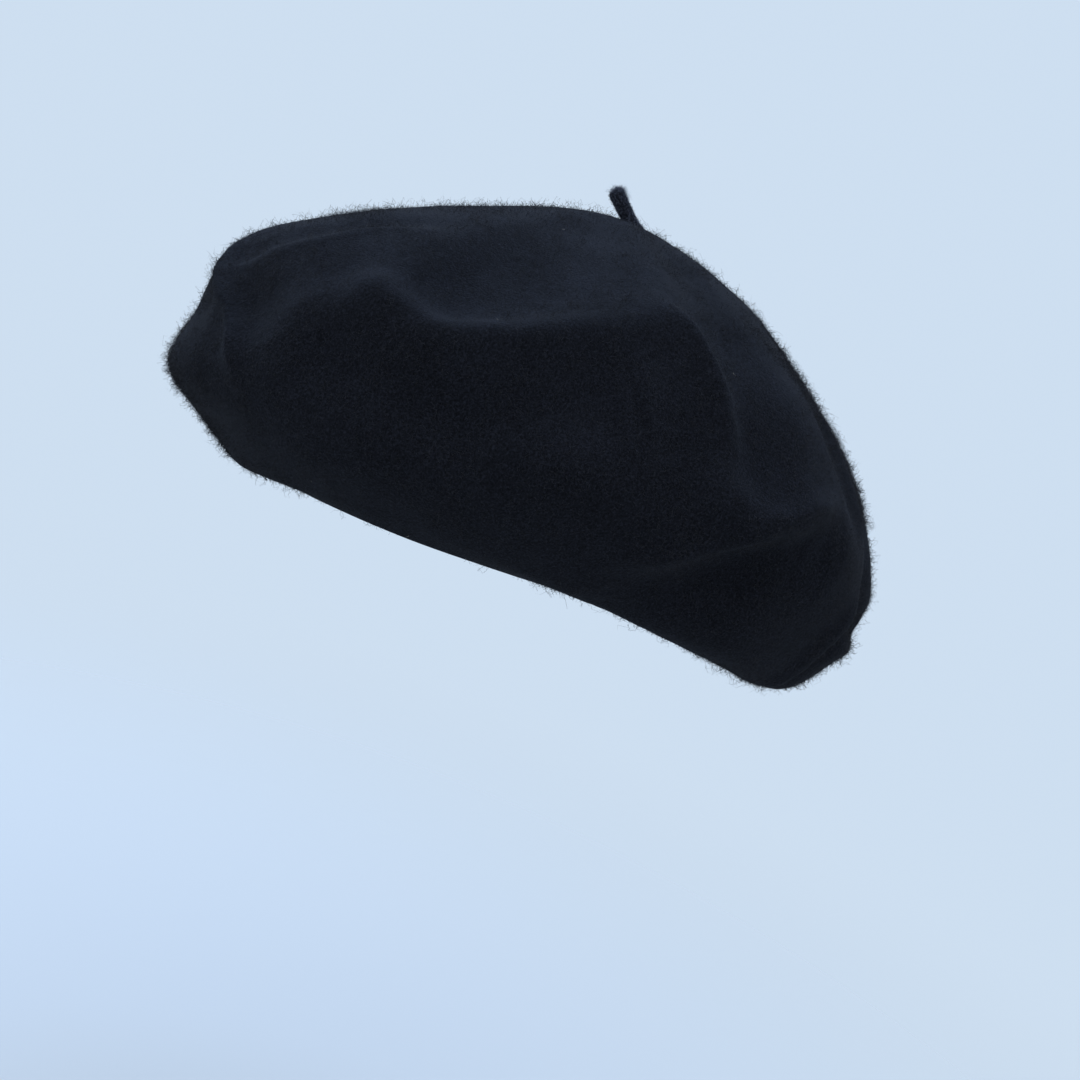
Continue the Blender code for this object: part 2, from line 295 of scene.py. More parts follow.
def felt_relief(surface, normals):
    """The felt's own unevenness: slow swells, small lumps and a coarse grain."""
    offsets = np.empty(surface.shape[:2])
    for index in np.ndindex(offsets.shape):
        place = Vector(surface[index])
        swell = noise.noise(place * SWELL_SCALE) * SWELL_HEIGHT
        lump = noise.noise(place * LUMP_SCALE + LUMP_SHIFT) * LUMP_HEIGHT
        grain = noise.noise(place * GRAIN_SCALE + GRAIN_SHIFT) * GRAIN_HEIGHT
        offsets[index] = swell + lump + grain
    fade = np.clip(np.arange(surface.shape[1]) / RIM_ROWS, 0.25, 1.0)
    return surface + normals * (offsets * fade * MM)[..., None]


def folded_felt():
    """The felt's outer face with its folds and unevenness, and its normals."""
    azimuths = np.arange(FELT_COLUMNS) * 360.0 / FELT_COLUMNS
    surface = felt_surface(azimuths, FELT_ROWS)
    normals = surface_normals(surface)
    total = sum(fold_offsets(surface, normals, fold) for fold in FOLDS.values())
    edge_fade = np.clip(np.arange(FELT_ROWS + 1) / EDGE_ROWS, 0.0, 1.0)
    surface = surface + normals * (total * edge_fade)[..., None]
    surface = felt_relief(surface, surface_normals(surface))
    surface[:, -1] = surface[:, -1].mean(0)
    return surface, surface_normals(surface)


# ---- Meshes ----------------------------------------------------------------------------------


def new_object(name, points, faces, material, smooth=True):
    mesh = bpy.data.meshes.new(name)
    mesh.from_pydata([tuple(p) for p in points], [], [tuple(int(i) for i in f) for f in faces])
    mesh.validate()
    if smooth:
        mesh.shade_smooth()
    mesh.materials.append(material)
    obj = bpy.data.objects.new(name, mesh)
    bpy.context.scene.collection.objects.link(obj)
    return obj


def strip_faces(low, high):
    """Quads between two closed loops of the same length, given as index arrays."""
    return np.stack([low, np.roll(low, -1), np.roll(high, -1), high], -1)


def felt_object(surface, normals, material):
    """One closed body: outer face, rounded edge and inner face."""
    half = FELT_THICKNESS / 2
    along = surface[:, 1] - surface[:, 0]
    along /= np.linalg.norm(along, axis=1, keepdims=True)
    middle = surface[:, 0] - normals[:, 0] * half
    rings = [surface[:, row] for row in range(FELT_ROWS - 1, -1, -1)]
    for turn in np.radians([36, 72, 108, 144]):
        rings.append(middle + normals[:, 0] * half * math.cos(turn) - along * half * math.sin(turn))
    rows = [0, 1, 2, 3] + list(range(LINING_STEP, FELT_ROWS - 1, LINING_STEP))
    rings += [surface[:, row] - normals[:, row] * FELT_THICKNESS for row in rows]
    points = np.concatenate(rings)
    loops = np.arange(len(points)).reshape(len(rings), FELT_COLUMNS)
    faces = [strip_faces(low, high) for high, low in zip(loops, loops[1:])]
    faces = [tuple(f) for f in np.concatenate(faces)]
    top, under = len(points), len(points) + 1
    crown = surface[0, -1]
    points = np.vstack([points, crown, crown - (0.0, 0.0, FELT_THICKNESS)])
    for i in range(FELT_COLUMNS):
        j = (i + 1) % FELT_COLUMNS
        faces.append((loops[0, i], loops[0, j], top))
        faces.append((loops[-1, j], loops[-1, i], under))
    return new_object("felt_body_soft", points, faces, material)


def tube(centres, radii, sides, closed=False):
    """Points and faces of a tube with round, filled ends."""
    centres = np.asarray(centres, float)
    radii = np.broadcast_to(radii, len(centres))
    if closed:
        tangents = np.roll(centres, -1, 0) - np.roll(centres, 1, 0)
    else:
        tangents = np.gradient(centres, axis=0)
    tangents /= np.linalg.norm(tangents, axis=1, keepdims=True)
    side = np.cross(tangents[0], (0.31, 0.17, 0.93))
    loops = []
    for centre, tangent, radius in zip(centres, tangents, radii):
        side = side - tangent * np.dot(side, tangent)
        side /= np.linalg.norm(side)
        other = np.cross(tangent, side)
        turn = np.arange(sides) * 2 * math.pi / sides
        circle = np.cos(turn)[:, None] * side + np.sin(turn)[:, None] * other
        loops.append(centre + circle * radius)
    points = np.concatenate(loops)
    index = np.arange(len(points)).reshape(-1, sides)
    faces = [tuple(f) for low, high in zip(index, index[1:]) for f in strip_faces(low, high)]
    if closed:
        faces += [tuple(f) for f in strip_faces(index[-1], index[0])]
    else:
        faces += [tuple(index[0][::-1]), tuple(index[-1])]
    return points, faces


def joined(name, parts, material):
    """One object from several (points, faces) pairs."""
    points, faces, start = [], [], 0
    for part_points, part_faces in parts:
        points.append(part_points)
        faces += [tuple(i + start for i in face) for face in part_faces]
        start += len(part_points)
    return new_object(name, np.concatenate(points), faces, material)


# ---- Materials -------------------------------------------------------------------------------


def new_material(name):
    material = bpy.data.materials.new(name)
    material.use_nodes = True
    tree = material.node_tree
    return material, tree, tree.nodes["Principled BSDF"]


def add_node(tree, kind, **inputs):
    node = tree.nodes.new(kind)
    for key, value in inputs.items():
        node.inputs[key.replace("_", " ")].default_value = value
    return node


def noise_node(tree, place, scale, detail=4.0, roughness=0.6, distortion=0.0):
    node = add_node(tree, "ShaderNodeTexNoise", Scale=scale, Detail=detail, Roughness=roughness,
                    Distortion=distortion)
    tree.links.new(place, node.inputs["Vector"])
    return node.outputs["Fac"]


def ramp_node(tree, value, stops):
    """A colour ramp through (position, (red, green, blue)) stops."""
    node = tree.nodes.new("ShaderNodeValToRGB")
    ramp = node.color_ramp
    while len(ramp.elements) < len(stops):
        ramp.elements.new(0.5)
    for element, (position, colour) in zip(ramp.elements, stops):
        element.position = position
        element.color = (*colour, 1.0)
    tree.links.new(value, node.inputs["Fac"])
    return node.outputs["Color"]


def math_node(tree, operation, a, b):
    node = tree.nodes.new("ShaderNodeMath")
    node.operation = operation
    for socket, value in zip(node.inputs, (a, b)):
        if isinstance(value, (int, float)):
            socket.default_value = value
        else:
            tree.links.new(value, socket)
    return node.outputs[0]


def bump_node(tree, height, strength, distance, below=None):
    node = add_node(tree, "ShaderNodeBump", Strength=strength, Distance=distance)
    tree.links.new(height, node.inputs["Height"])
    if below is not None:
        tree.links.new(below, node.inputs["Normal"])
    return node.outputs["Normal"]


def object_place(tree):
    return tree.nodes.new("ShaderNodeTexCoord").outputs["Object"]


def felt_material():
    """Near-black wool felt: a matted fibre grain, faint mottling and a soft sheen."""
    material, tree, shader = new_material("felt_wool")
    place = object_place(tree)
    mottle = noise_node(tree, place, 45.0, 3.0, 0.55)
    fibre = noise_node(tree, place, 1600.0, 2.0, 0.7, 0.6)
    tuft = noise_node(tree, place, 330.0, 3.0, 0.6, 0.8)
    blend = math_node(tree, "ADD", math_node(tree, "MULTIPLY", fibre, 0.85),
                      math_node(tree, "MULTIPLY", mottle, 0.15))
    colour = ramp_node(tree, blend, [
        (0.36, (0.0026, 0.0030, 0.0046)),
        (0.50, (0.0062, 0.0070, 0.0103)),
        (0.65, (0.0138, 0.0156, 0.0230)),
    ])
    tree.links.new(colour, shader.inputs["Base Color"])
    rough = tree.nodes.new("ShaderNodeMapRange")
    rough.inputs["To Min"].default_value = 0.84
    rough.inputs["To Max"].default_value = 1.0
    tree.links.new(tuft, rough.inputs["Value"])
    tree.links.new(rough.outputs["Result"], shader.inputs["Roughness"])
    shader.inputs["Specular IOR Level"].default_value = 0.06
    shader.inputs["Sheen Weight"].default_value = 0.032
    shader.inputs["Sheen Roughness"].default_value = 0.45
    shader.inputs["Sheen Tint"].default_value = (0.60, 0.74, 1.0, 1.0)
    coarse = bump_node(tree, tuft, 0.55, 0.0006)
    fine = bump_node(tree, fibre, 1.0, 0.00060, coarse)
    tree.links.new(fine, shader.inputs["Normal"])
    return material


def fibre_material(name, low, high):
    """Loose wool: each fibre a little lighter or darker than the next."""
    material, tree, shader = new_material(name)
    place = object_place(tree)
    change = noise_node(tree, place, 1100.0, 2.0, 0.5)
    colour = ramp_node(tree, change, [(0.43, low), (0.57, high)])
    tree.links.new(colour, shader.inputs["Base Color"])
    shader.inputs["Roughness"].default_value = 0.8
    shader.inputs["Specular IOR Level"].default_value = 0.3
    return material


def ribbon_material():
    """Black grosgrain: fine cross ribs with a low sheen."""
    material, tree, shader = new_material("ribbon_grosgrain")
    place = object_place(tree)
    yarn = noise_node(tree, place, 2600.0, 2.0, 0.5)
    wear = noise_node(tree, place, 120.0, 4.0, 0.6)
    mixed = math_node(tree, "ADD", math_node(tree, "MULTIPLY", yarn, 0.5),
                      math_node(tree, "MULTIPLY", wear, 0.5))
    colour = ramp_node(tree, mixed, [(0.35, (0.006, 0.006, 0.007)), (0.65, (0.017, 0.017, 0.020))])
    tree.links.new(colour, shader.inputs["Base Color"])
    shader.inputs["Roughness"].default_value = 0.52
    shader.inputs["Sheen Weight"].default_value = 0.08
    tree.links.new(bump_node(tree, yarn, 0.5, 0.00012), shader.inputs["Normal"])
    return material


def thread_material():
    """Black twisted polyester thread."""
    material, tree, shader = new_material("sewing_thread")
    place = object_place(tree)
    twist = noise_node(tree, place, 3500.0, 2.0, 0.5, 1.0)
    colour = ramp_node(tree, twist, [(0.35, (0.010, 0.010, 0.012)), (0.65, (0.032, 0.032, 0.037))])
    tree.links.new(colour, shader.inputs["Base Color"])
    shader.inputs["Roughness"].default_value = 0.42
    tree.links.new(bump_node(tree, twist, 0.6, 0.0001), shader.inputs["Normal"])
    return material


def label_material():
    """Off-white satin weave, blank, a little soiled."""
    material, tree, shader = new_material("label_satin")
    place = object_place(tree)
    weave = tree.nodes.new("ShaderNodeTexWave")
    weave.bands_direction = "Z"
    weave.inputs["Scale"].default_value = 700.0
    weave.inputs["Distortion"].default_value = 0.6
    tree.links.new(place, weave.inputs["Vector"])
    soil = noise_node(tree, place, 220.0, 4.0, 0.6)
    colour = ramp_node(tree, soil, [(0.3, (0.50, 0.49, 0.45)), (0.7, (0.66, 0.65, 0.61))])
    tree.links.new(colour, shader.inputs["Base Color"])
    shader.inputs["Roughness"].default_value = 0.38
    shader.inputs["Sheen Weight"].default_value = 0.1
    tree.links.new(bump_node(tree, weave.outputs["Fac"], 0.5, 0.0001), shader.inputs["Normal"])
    return material


# ---- Stalk -----------------------------------------------------------------------------------

STALK_LENGTH = 13.1 * MM
STALK_RADIUS = 2.5 * MM
STALK_TIP_RADIUS = 2.75 * MM
STALK_FOOT_XY = (2.7 * MM, 2.6 * MM)
STALK_LEAN = 48.0
STALK_AZIMUTH = -38.0
STALK_BEND = 4.0
STALK_SIDES = 40
STALK_HINGE = np.array(frame["joints"][0]["pos_m"])
# How the stalk's root spreads into the felt: (size against the stalk, share of the way up to where
# the stalk is clear of the felt, height in millimetres).
STALK_SKIRT = [(1.45, 0.0, -0.9), (1.72, 0.0, -0.35), (1.62, 0.0, 0.02), (1.36, 0.04, 0.08),
               (1.18, 0.16, 0.05), (1.07, 0.38, 0.0), (1.01, 0.68, 0.0)]
# The blunt tip: (distance, radius) as shares of the tip's radius.
STALK_TIP = [(0.30, 0.985), (0.50, 0.92), (0.66, 0.80), (0.77, 0.62), (0.82, 0.40), (0.81, 0.18)]


def crown_height(surface, x, y):
    """The height of the felt's outer face above a place near the crown's centre."""
    column = round(math.degrees(math.atan2(x, -y)) / 360.0 * FELT_COLUMNS) % FELT_COLUMNS
    upper = surface[column, FELT_ROWS // 2:][::-1]
    return float(np.interp(math.hypot(x, y), np.hypot(upper[:, 0], upper[:, 1]), upper[:, 2]))


def stalk_direction(distance, share=1.0):
    """The way the stalk points this far past its hinge, or its mean way there with a share of 0.5."""
    angle = math.radians(STALK_LEAN - STALK_BEND * distance / STALK_LENGTH * share)
    return azimuth_vectors(STALK_AZIMUTH) * math.sin(angle) + np.array([0.0, 0.0, math.cos(angle)])


def stalk_rings(surface):
    """The stalk's rings of points, from inside the felt, over its spread root, to the blunt tip."""
    turns = np.arange(STALK_SIDES)[:, None] * 2 * math.pi / STALK_SIDES
    foot = np.array([*STALK_FOOT_XY, crown_height(surface, *STALK_FOOT_XY)])
    slope = math.tan(math.radians(STALK_LEAN))
    clear_at = STALK_RADIUS * slope + 1.3 * MM
    along = stalk_direction(0.0)
    across = azimuth_vectors(STALK_AZIMUTH + 90.0)
    under = np.cross(across, along)
    under *= -np.sign(under[2])
    rings = []
    for size, share, height in STALK_SKIRT:
        radius = STALK_RADIUS * 0.96 * size
        start = radius * np.cos(turns) * slope
        distance = start + (clear_at - start) * share
        round_it = under * np.cos(turns) + across * np.sin(turns)
        ring = foot + along * distance + round_it * radius * (1.0 + 0.05 * np.sin(3 * turns + 0.7))
        felt = np.array([crown_height(surface, *point[:2]) for point in ring]) - foot[2]
        ring[:, 2] += felt * (1 - share) + height * MM
        rings.append(ring)

    hinge_at = (STALK_HINGE[2] - foot[2]) / math.cos(math.radians(STALK_LEAN))
    straight = STALK_LENGTH - STALK_TIP_RADIUS * STALK_TIP[4][0]
    line = [(at, STALK_RADIUS * 0.96 + (STALK_TIP_RADIUS - STALK_RADIUS * 0.96) * at / straight)
            for at in np.linspace(clear_at, straight, 14)]
    line += [(straight + past * STALK_TIP_RADIUS, size * STALK_TIP_RADIUS) for past, size in STALK_TIP]
    for at, radius in line:
        past_hinge = at - hinge_at
        centre = STALK_HINGE + stalk_direction(past_hinge, 0.5) * past_hinge
        under = np.cross(across, stalk_direction(past_hinge))
        under *= -np.sign(under[2])
        rings.append(centre + (under * np.cos(turns) + across * np.sin(turns)) * radius)
    for ring in rings[5:]:
        centre = ring.mean(0)
        for i, point in enumerate(ring):
            lump = noise.noise(Vector(point) * 260.0) * 0.06 + noise.noise(Vector(point) * 900.0) * 0.03
            ring[i] = centre + (point - centre) * (1.0 + lump)
    return rings


def loft(rings):
    """Points and faces of a closed body through rings of points, with fans at both ends."""
    count = len(rings[0])
    points = np.concatenate([*rings, [rings[0].mean(0)], [rings[-1].mean(0)]])
    loops = np.arange(count * len(rings)).reshape(-1, count)
    faces = [tuple(f) for low, high in zip(loops, loops[1:]) for f in strip_faces(low, high)]
    first, last = len(points) - 2, len(points) - 1
    for i in range(count):
        j = (i + 1) % count
        faces.append((loops[0, j], loops[0, i], first))
        faces.append((loops[-1, i], loops[-1, j], last))
    return points, faces


def blend_on_stalk(piece):
    """Bakes the piece's placement into its mesh and leaves it unparented."""
    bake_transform(piece)


def build_stalk(surface, material):
    rings = stalk_rings(surface)
    points, faces = loft(rings)
    stalk = new_object("stalk_soft", points, faces, material)
    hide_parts("stalk")
    blend_on_stalk(stalk)
    return np.array(rings)


# ---- Loose fibres ----------------------------------------------------------------------------

# Each set of fibres: name, pieces, fibres in a piece, rings, shortest and extra length in mm,
# radius in mm, lift and curl.
NAP_SETS = [
    ("fuzz", 2, 47000, 1, 0.3, 2.2, 0.046, 2.0, 0.7),
    ("nap", 5, 18500, 2, 0.5, 2.7, 0.052, 1.7, 1.2),
    ("stray", 3, 5000, 6, 2.0, 5.0, 0.056, 1.3, 1.9),
]
LENGTH_POWER = 1.8
# Where the nap is rubbed up, at the left back and the brow: azimuth, share of the way to the crown,
# spread in mm, and gain.
RUBBED_PATCHES = [(112, 0.62, 26, 2.6), (128, 0.45, 24, 1.6), (-22, 0.14, 26, 2.6)]
STALK_FIBRES = 2600
STALK_FIBRE_RADIUS = 0.045 * MM
LINT_BITS = 22
LINT_RADIUS = 0.07 * MM


def scatter(rng, surface, normals, count, weight=None):
    """Random places on a surface's grid of points, by area: (points, normals)."""
    after = np.roll(surface, -1, 0)
    area = np.linalg.norm(
        np.cross(after[:, :-1] - surface[:, :-1], surface[:, 1:] - surface[:, :-1]), axis=-1)
    if weight is not None:
        area = area * weight[:, :-1]
    total = np.cumsum(area.ravel())
    cell = np.searchsorted(total, rng.random(count) * total[-1])
    column, row = np.unravel_index(np.minimum(cell, area.size - 1), area.shape)
    beside = (column + 1) % len(surface)
    u, v = rng.random((2, count, 1))
    found = []
    for grid in (surface, normals):
        low = grid[column, row] * (1 - u) + grid[beside, row] * u
        high = grid[column, row + 1] * (1 - u) + grid[beside, row + 1] * u
        found.append(low * (1 - v) + high * v)
    return found[0], found[1] / np.linalg.norm(found[1], axis=1, keepdims=True)


def unit_rows(vectors):
    return vectors / np.linalg.norm(vectors, axis=-1, keepdims=True)


def fibres(rng, roots, normals, lengths, radius, rings, lift, curl):
    """Points and faces of tapered three-sided fibres. Lift is their rise, curl their waviness."""
    count = len(roots)
    tangents = unit_rows(np.cross(normals, rng.normal(size=(count, 3))))
    across = np.cross(normals, tangents)
    rise = lift * (0.35 + 1.3 * rng.random((count, 1)))
    ahead = unit_rows(tangents + normals * rise)
    steps = np.linspace(0.0, 1.0, rings + 1)
    phase = rng.random((2, count, 1)) * 2 * math.pi
    waves = curl * (0.5 + rng.random((2, count, 1)))
    bend = rng.normal(size=(count, 1)) * 0.45
    centres = []
    for t in steps:
        sway = across * (bend * t * t + 0.22 * t * np.sin(phase[0] + waves[0] * t * 2 * math.pi))
        bounce = normals * (0.20 * t * np.sin(phase[1] + waves[1] * t * 2 * math.pi))
        droop = normals * (-0.25 * rise * t * t)
        reached = (ahead * t + sway + bounce + droop) * lengths[:, None]
        centres.append(roots - normals * 0.12 * MM + reached)
    centres = np.array(centres)
    turns = np.arange(3) * 2 * math.pi / 3
    points = []
    for ring, t in enumerate(steps[:-1]):
        thick = radius * (1.0 - 0.55 * t)
        for turn in turns:
            offset = across * math.cos(turn) + np.cross(ahead, across) * math.sin(turn)
            points.append(centres[ring] + offset * thick)
    points.append(centres[-1])
    points = np.array(points).transpose(1, 0, 2).reshape(-1, 3)
    each = 3 * rings + 1
    shape = [(0, 2, 1)]
    for ring in range(rings - 1):
        for side in range(3):
            low, low_next = 3 * ring + side, 3 * ring + (side + 1) % 3
            shape += [(low, low_next, low_next + 3), (low, low_next + 3, low + 3)]
    top = 3 * (rings - 1)
    shape += [(top + side, top + (side + 1) % 3, each - 1) for side in range(3)]
    faces = (np.arange(count)[:, None, None] * each + np.array(shape)[None]).reshape(-1, 3)
    return points, faces


def fuzz_weight(surface):
    """How thickly the nap stands at each point: patchy, and thicker where it's rubbed up."""
    weight = np.empty(surface.shape[:2])
    for index in np.ndindex(weight.shape):
        place = Vector(surface[index])
        broad, fine = noise.noise(place * 60.0), noise.noise(place * 170.0)
        weight[index] = max(0.12, 0.75 + 1.3 * broad + 0.7 * fine)
    for azimuth, share, spread, gain in RUBBED_PATCHES:
        centre = surface[round(azimuth / 360 * FELT_COLUMNS) % FELT_COLUMNS, int(share * FELT_ROWS)]
        gap = np.linalg.norm(surface - centre, axis=-1)
        weight *= 1.0 + gain * bell(gap, spread * MM)
    weight[:, :2] *= 0.5
    weight[:, -2:] *= 0.2
    return weight


def build_nap(surface, normals, material, pale):
    """The nap in a few pieces, the long curly strays, and some specks of pale lint."""
    rng = np.random.default_rng(7)
    weight = fuzz_weight(surface)
    for name, pieces, count, rings, shortest, longer, radius, lift, curl in NAP_SETS:
        for piece_number in range(pieces):
            roots, outward = scatter(rng, surface, normals, count, weight)
            lengths = (shortest + longer * rng.random(count) ** LENGTH_POWER) * MM
            points, faces = fibres(rng, roots, outward, lengths, radius * MM, rings, lift, curl)
            piece = new_object(f"{name}_{piece_number + 1}", points, faces, material, smooth=False)
            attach(piece, "hat")
    roots, outward = scatter(rng, surface, normals, LINT_BITS)
    lengths = (0.6 + 1.6 * rng.random(len(roots))) * MM
    roots = roots + outward * 0.2 * MM
    points, faces = fibres(rng, roots, outward, lengths, LINT_RADIUS, 6, 0.15, 1.5)
    lint = new_object("lint_specks", points, faces, pale, smooth=False)
    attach(lint, "hat")


def build_stalk_nap(rings, material):
    rng = np.random.default_rng(11)
    grid = rings.transpose(1, 0, 2)
    normals = surface_normals(grid)
    roots, outward = scatter(rng, grid[:, 3:], normals[:, 3:], STALK_FIBRES)
    lengths = (0.6 + 1.3 * rng.random(len(roots)) ** 2) * MM
    tip = roots[:, 2] > np.quantile(roots[:, 2], 0.82)
    lengths[tip] *= 1.8
    points, faces = fibres(rng, roots, outward, lengths, STALK_FIBRE_RADIUS, 3, 0.9, 1.2)
    nap = new_object("stalk_nap", points, faces, material, smooth=False)
    blend_on_stalk(nap)


# ---- Sweatband, its join, stitches and label -------------------------------------------------

GAP = 0.3 * MM
BAND_INSET = 3.0 * MM
BAND_THICKNESS = 1.0 * MM
BAND_BOTTOM = 0.8 * MM
BAND_HEIGHT = 22.0 * MM
RIB_COUNT = 600
RIB_DEPTH = 0.16 * MM
RIB_COLUMNS = 5
BAND_ROWS = 10
JOIN_WIDTH = 16.0 * MM
JOIN_THICKNESS = 0.9 * MM
JOIN_AZIMUTH = 180.0
THREAD_RADIUS = 0.26 * MM
THREAD_HEIGHT = 4.0 * MM
THREAD_SWING = 1.2 * MM
THREAD_STITCHES = 90
THREAD_GAP_FROM = 174.0
THREAD_GAP_TO = 186.0
LABEL_AZIMUTH = 158.0
LABEL_WIDTH = 32.0 * MM
LABEL_THICKNESS = 0.5 * MM
LABEL_BOTTOM = 6.4 * MM
LABEL_HEIGHT = 14.5 * MM
FACE_INSET = BAND_INSET + BAND_THICKNESS + GAP


def section_loop(thickness, bottom, height, rows):
    """(share of the thickness, height, edge) round an upright strip's section, outer face first."""
    levels = np.linspace(0.0, 1.0, rows)
    outer = [(0.0, level) for level in levels]
    inner = [(1.0, level) for level in levels[::-1]]
    loop = np.array(outer + [(0.5, 1.0)] + inner + [(0.5, 0.0)])
    rounding = 0.25 * thickness / height
    ends = (loop[:, 0] == 0.5) * np.where(loop[:, 1] > 0.5, 1, -1) * rounding
    return loop[:, 0] * thickness, bottom + (loop[:, 1] + ends) * height, loop[:, 0] * 2 - 1


def ribbed_columns(azimuths, ribs, thickness, bottom, height, inset):
    """Sections of a ribbed strip at these azimuths. Ribs is the phase of the ribbing at each."""
    depth, level, side = section_loop(thickness - RIB_DEPTH, bottom, height, BAND_ROWS)
    ridge = (np.abs(np.cos(ribs / 2)) - 0.5) * RIB_DEPTH
    columns = []
    for azimuth, rib in zip(azimuths, ridge):
        share = (level - bottom) / height
        turn = math.radians(azimuth)
        place = Vector((math.sin(turn) * 2.6, math.cos(turn) * 2.6, 0.4))
        ripple = (noise.noise(place) * 0.5 + 0.5) * 0.5 * MM * share**2
        scallop = rib * 1.1 * ((share > 0.97) * 1.0 - (share < 0.03) * 1.0)
        reach = inset + RIB_DEPTH / 2 + depth + side * rib + ripple
        points = azimuth_vectors(azimuth) * ring_radius(azimuth, reach)[:, None]
        points[:, 2] = edge_height(azimuth) + level + scallop
        columns.append(points)
    return np.array(columns)


def build_sweatband(material):
    """The grosgrain ribbon, a closed ring whose cross ribs stand out on both faces."""
    count = RIB_COUNT * RIB_COLUMNS
    azimuths = np.arange(count) * 360.0 / count
    ribs = np.arange(count) * 2 * math.pi / RIB_COLUMNS
    columns = ribbed_columns(azimuths, ribs, BAND_THICKNESS, BAND_BOTTOM, BAND_HEIGHT, BAND_INSET)
    loops = np.arange(columns.shape[0] * columns.shape[1]).reshape(columns.shape[:2])
    faces = [f for low, high in zip(loops, np.roll(loops, -1, 0)) for f in strip_faces(low, high)[:, ::-1]]
    band = new_object("sweatband_ribbon", columns.reshape(-1, 3), faces, material)
    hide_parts("sweatband")
    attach(band, "hat")
    return band


def build_join(material):
    """A short length of the same ribbon over the ribbon's two ends."""
    half = math.degrees(JOIN_WIDTH / 2 / ring_radius(JOIN_AZIMUTH))
    count = 18 * RIB_COLUMNS
    azimuths = JOIN_AZIMUTH + np.linspace(-half, half, count + 1)
    ribs = np.arange(count + 1) * 2 * math.pi / RIB_COLUMNS
    columns = ribbed_columns(azimuths, ribs, JOIN_THICKNESS, BAND_BOTTOM, BAND_HEIGHT, FACE_INSET)
    points, faces = loft(columns)
    join = new_object("join_ribbon", points, faces, material)
    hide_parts("sweatband_join")
    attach(join, "hat")
    return join


def stitch(start, end, out, radius=THREAD_RADIUS):
    """One stitch: two plies twisted together, bulging out between the two holes."""
    t = np.linspace(0.0, 1.0, 15)
    run = end - start
    across = np.cross(out, run / np.linalg.norm(run))
    centres = start + run * t[:, None] + out * (np.sin(math.pi * t) * 0.9 * radius - 0.35 * radius)[:, None]
    plies = []
    for phase in (0.0, math.pi):
        turn = phase + t * 3.2 * math.pi
        offset = across * np.cos(turn)[:, None] + out * np.sin(turn)[:, None]
        plies.append(tube(centres + offset * radius * 0.5, radius * 0.58, 7))
    return plies


def band_place(azimuth, height, inset=FACE_INSET - GAP):
    """A point on the ribbon's inner face, and the direction that faces the head."""
    point = azimuth_vectors(azimuth) * ring_radius(azimuth, inset)
    point[2] = edge_height(azimuth) + height
    return point, -azimuth_vectors(azimuth)


def build_stitching(material):
    """The seam that holds the ribbon: a zigzag of separate stitches, open behind the join."""
    parts = []
    sweep = 360.0 - (THREAD_GAP_TO - THREAD_GAP_FROM)
    count = 2 * THREAD_STITCHES
    for i in range(count):
        ends = []
        for step in (i, i + 1):
            azimuth = THREAD_GAP_TO + sweep * step / count
            swing = THREAD_SWING * (-1) ** step
            ends.append(band_place(azimuth, THREAD_HEIGHT + swing))
        (start, out), (end, _) = ends
        parts += stitch(start + (end - start) * 0.06, end - (end - start) * 0.06, out)
    seam = joined("sweatband_seam", parts, material)
    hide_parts("sweatband_stitching")
    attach(seam, "hat")
    return seam


def build_join_seam(material):
    """Two upright rows of straight stitches that close the join."""
    parts = []
    inset = FACE_INSET + JOIN_THICKNESS
    half = math.degrees(JOIN_WIDTH / 2 / ring_radius(JOIN_AZIMUTH))
    for side in (-0.78, 0.78):
        for level in np.arange(2.2, 20.5, 2.6):
            start, out = band_place(JOIN_AZIMUTH + side * half, level * MM, inset)
            end = start + (0.0, 0.0, 1.9 * MM)
            parts += stitch(start, end, out, 0.2 * MM)
    seam = joined("join_seam", parts, material)
    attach(seam, "hat")
    return seam


def build_label(material):
    """A blank satin label with folded ends, a little pillowed, with a softly curled lower edge."""
    half = math.degrees(LABEL_WIDTH / 2 / ring_radius(LABEL_AZIMUTH))
    columns = []
    for share in np.linspace(-1.0, 1.0, 81):
        azimuth = LABEL_AZIMUTH + share * half
        depth, level, side = section_loop(LABEL_THICKNESS * 0.55, LABEL_BOTTOM, LABEL_HEIGHT, 18)
        high = (level - LABEL_BOTTOM) / LABEL_HEIGHT
        fold = bell(abs(share) - 0.93, 0.05) * 0.12 * MM
        pillow = (1 - share**2) * np.sin(math.pi * high) * 0.18 * MM
        ripple = noise.noise(Vector((share * 2.2, 3.0, 0.5))) * 0.10 * MM * (1 - high)
        reach = FACE_INSET + 0.05 * MM + depth + side * fold * 0.5 + pillow + ripple
        points = azimuth_vectors(azimuth) * ring_radius(azimuth, reach)[:, None]
        points[:, 2] = edge_height(azimuth) + level
        columns.append(points)
    points, faces = loft(np.array(columns))
    tag = new_object("blank_label", points, faces, material)
    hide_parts("size_label")
    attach(tag, "hat")
    return tag


def build_label_seam(material):
    """A row of small stitches down each folded end of the label."""
    parts = []
    half = math.degrees(LABEL_WIDTH / 2 / ring_radius(LABEL_AZIMUTH))
    for side in (-0.9, 0.9):
        for level in np.arange(0.9, 12.5, 1.75):
            inset = FACE_INSET + 0.42 * MM
            start, out = band_place(LABEL_AZIMUTH + side * half, LABEL_BOTTOM + level * MM, inset)
            parts += stitch(start, start + (0.0, 0.0, 1.2 * MM), out, 0.13 * MM)
    seam = joined("label_seam", parts, material)
    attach(seam, "hat")
    return seam


# ---- The knot under the crown ----------------------------------------------------------------

KNOT_RADIUS = 3.3 * MM
KNOT_YARN = 0.62 * MM


